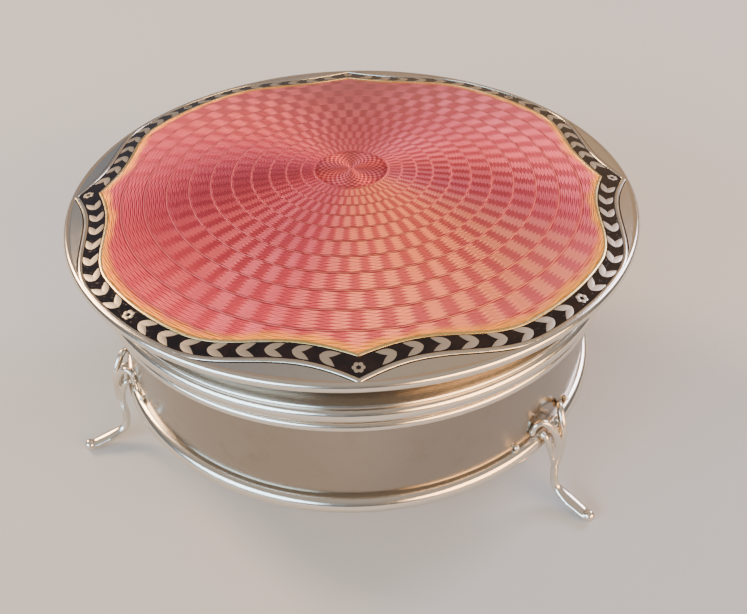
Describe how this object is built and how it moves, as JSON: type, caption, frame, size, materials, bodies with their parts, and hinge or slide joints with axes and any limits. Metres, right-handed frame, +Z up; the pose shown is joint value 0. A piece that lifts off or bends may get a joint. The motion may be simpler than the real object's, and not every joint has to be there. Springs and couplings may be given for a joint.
{
  "type": "trinket box",
  "caption": "Round silver trinket box with a hinged, domed lid of pink engine-turned enamel, on cabriole legs.",
  "frame": {"origin": "centre of the base plate's flat underside, on the drum's axis", "axes": "+Z up along the drum axis, -Y towards the front, +Y towards the hinge"},
  "size_m": [0.0854, 0.0864, 0.0418],
  "materials": {
    "polished_silver": "polished silver, fine hand-rubbed scratches",
    "gilt_silver": "gold-washed silver, soft polish",
    "pink_enamel": "translucent gloss enamel over engine turning",
    "black_enamel": "opaque gloss enamel inlaid with silver leaves"
  },
  "bodies": {
    "box": {"base_plate": "polished_silver", "drum_wall": "polished_silver", "base_moulding": "polished_silver", "top_moulding": "polished_silver", "inner_bezel": "gilt_silver", "body_hinge_leaf": "polished_silver", "hinge_pin": "polished_silver", "leg_front_right": "polished_silver", "leg_front_left": "polished_silver", "leg_back": "polished_silver", "body_knuckle_1": "polished_silver", "body_knuckle_2": "polished_silver", "body_knuckle_3": "polished_silver"},
    "lid": {"lid_cap": "polished_silver", "lid_cove": "polished_silver", "lid_wire": "polished_silver", "lid_lining": "gilt_silver", "guilloche_plate": "polished_silver", "cartouche_frame": "polished_silver", "black_enamel": "black_enamel", "gold_fillet": "gilt_silver", "pink_enamel": "pink_enamel", "lid_hinge_leaf": "polished_silver", "lid_knuckle_1": "polished_silver", "lid_knuckle_2": "polished_silver"}
  },
  "joints": [
    {"name": "lid_hinge", "type": "hinge", "parent": "box", "child": "lid", "pos_m": [0, 0.0399, 0.0182], "axis": [-1, 0, 0], "range_deg": [0, 100]}
  ]
}
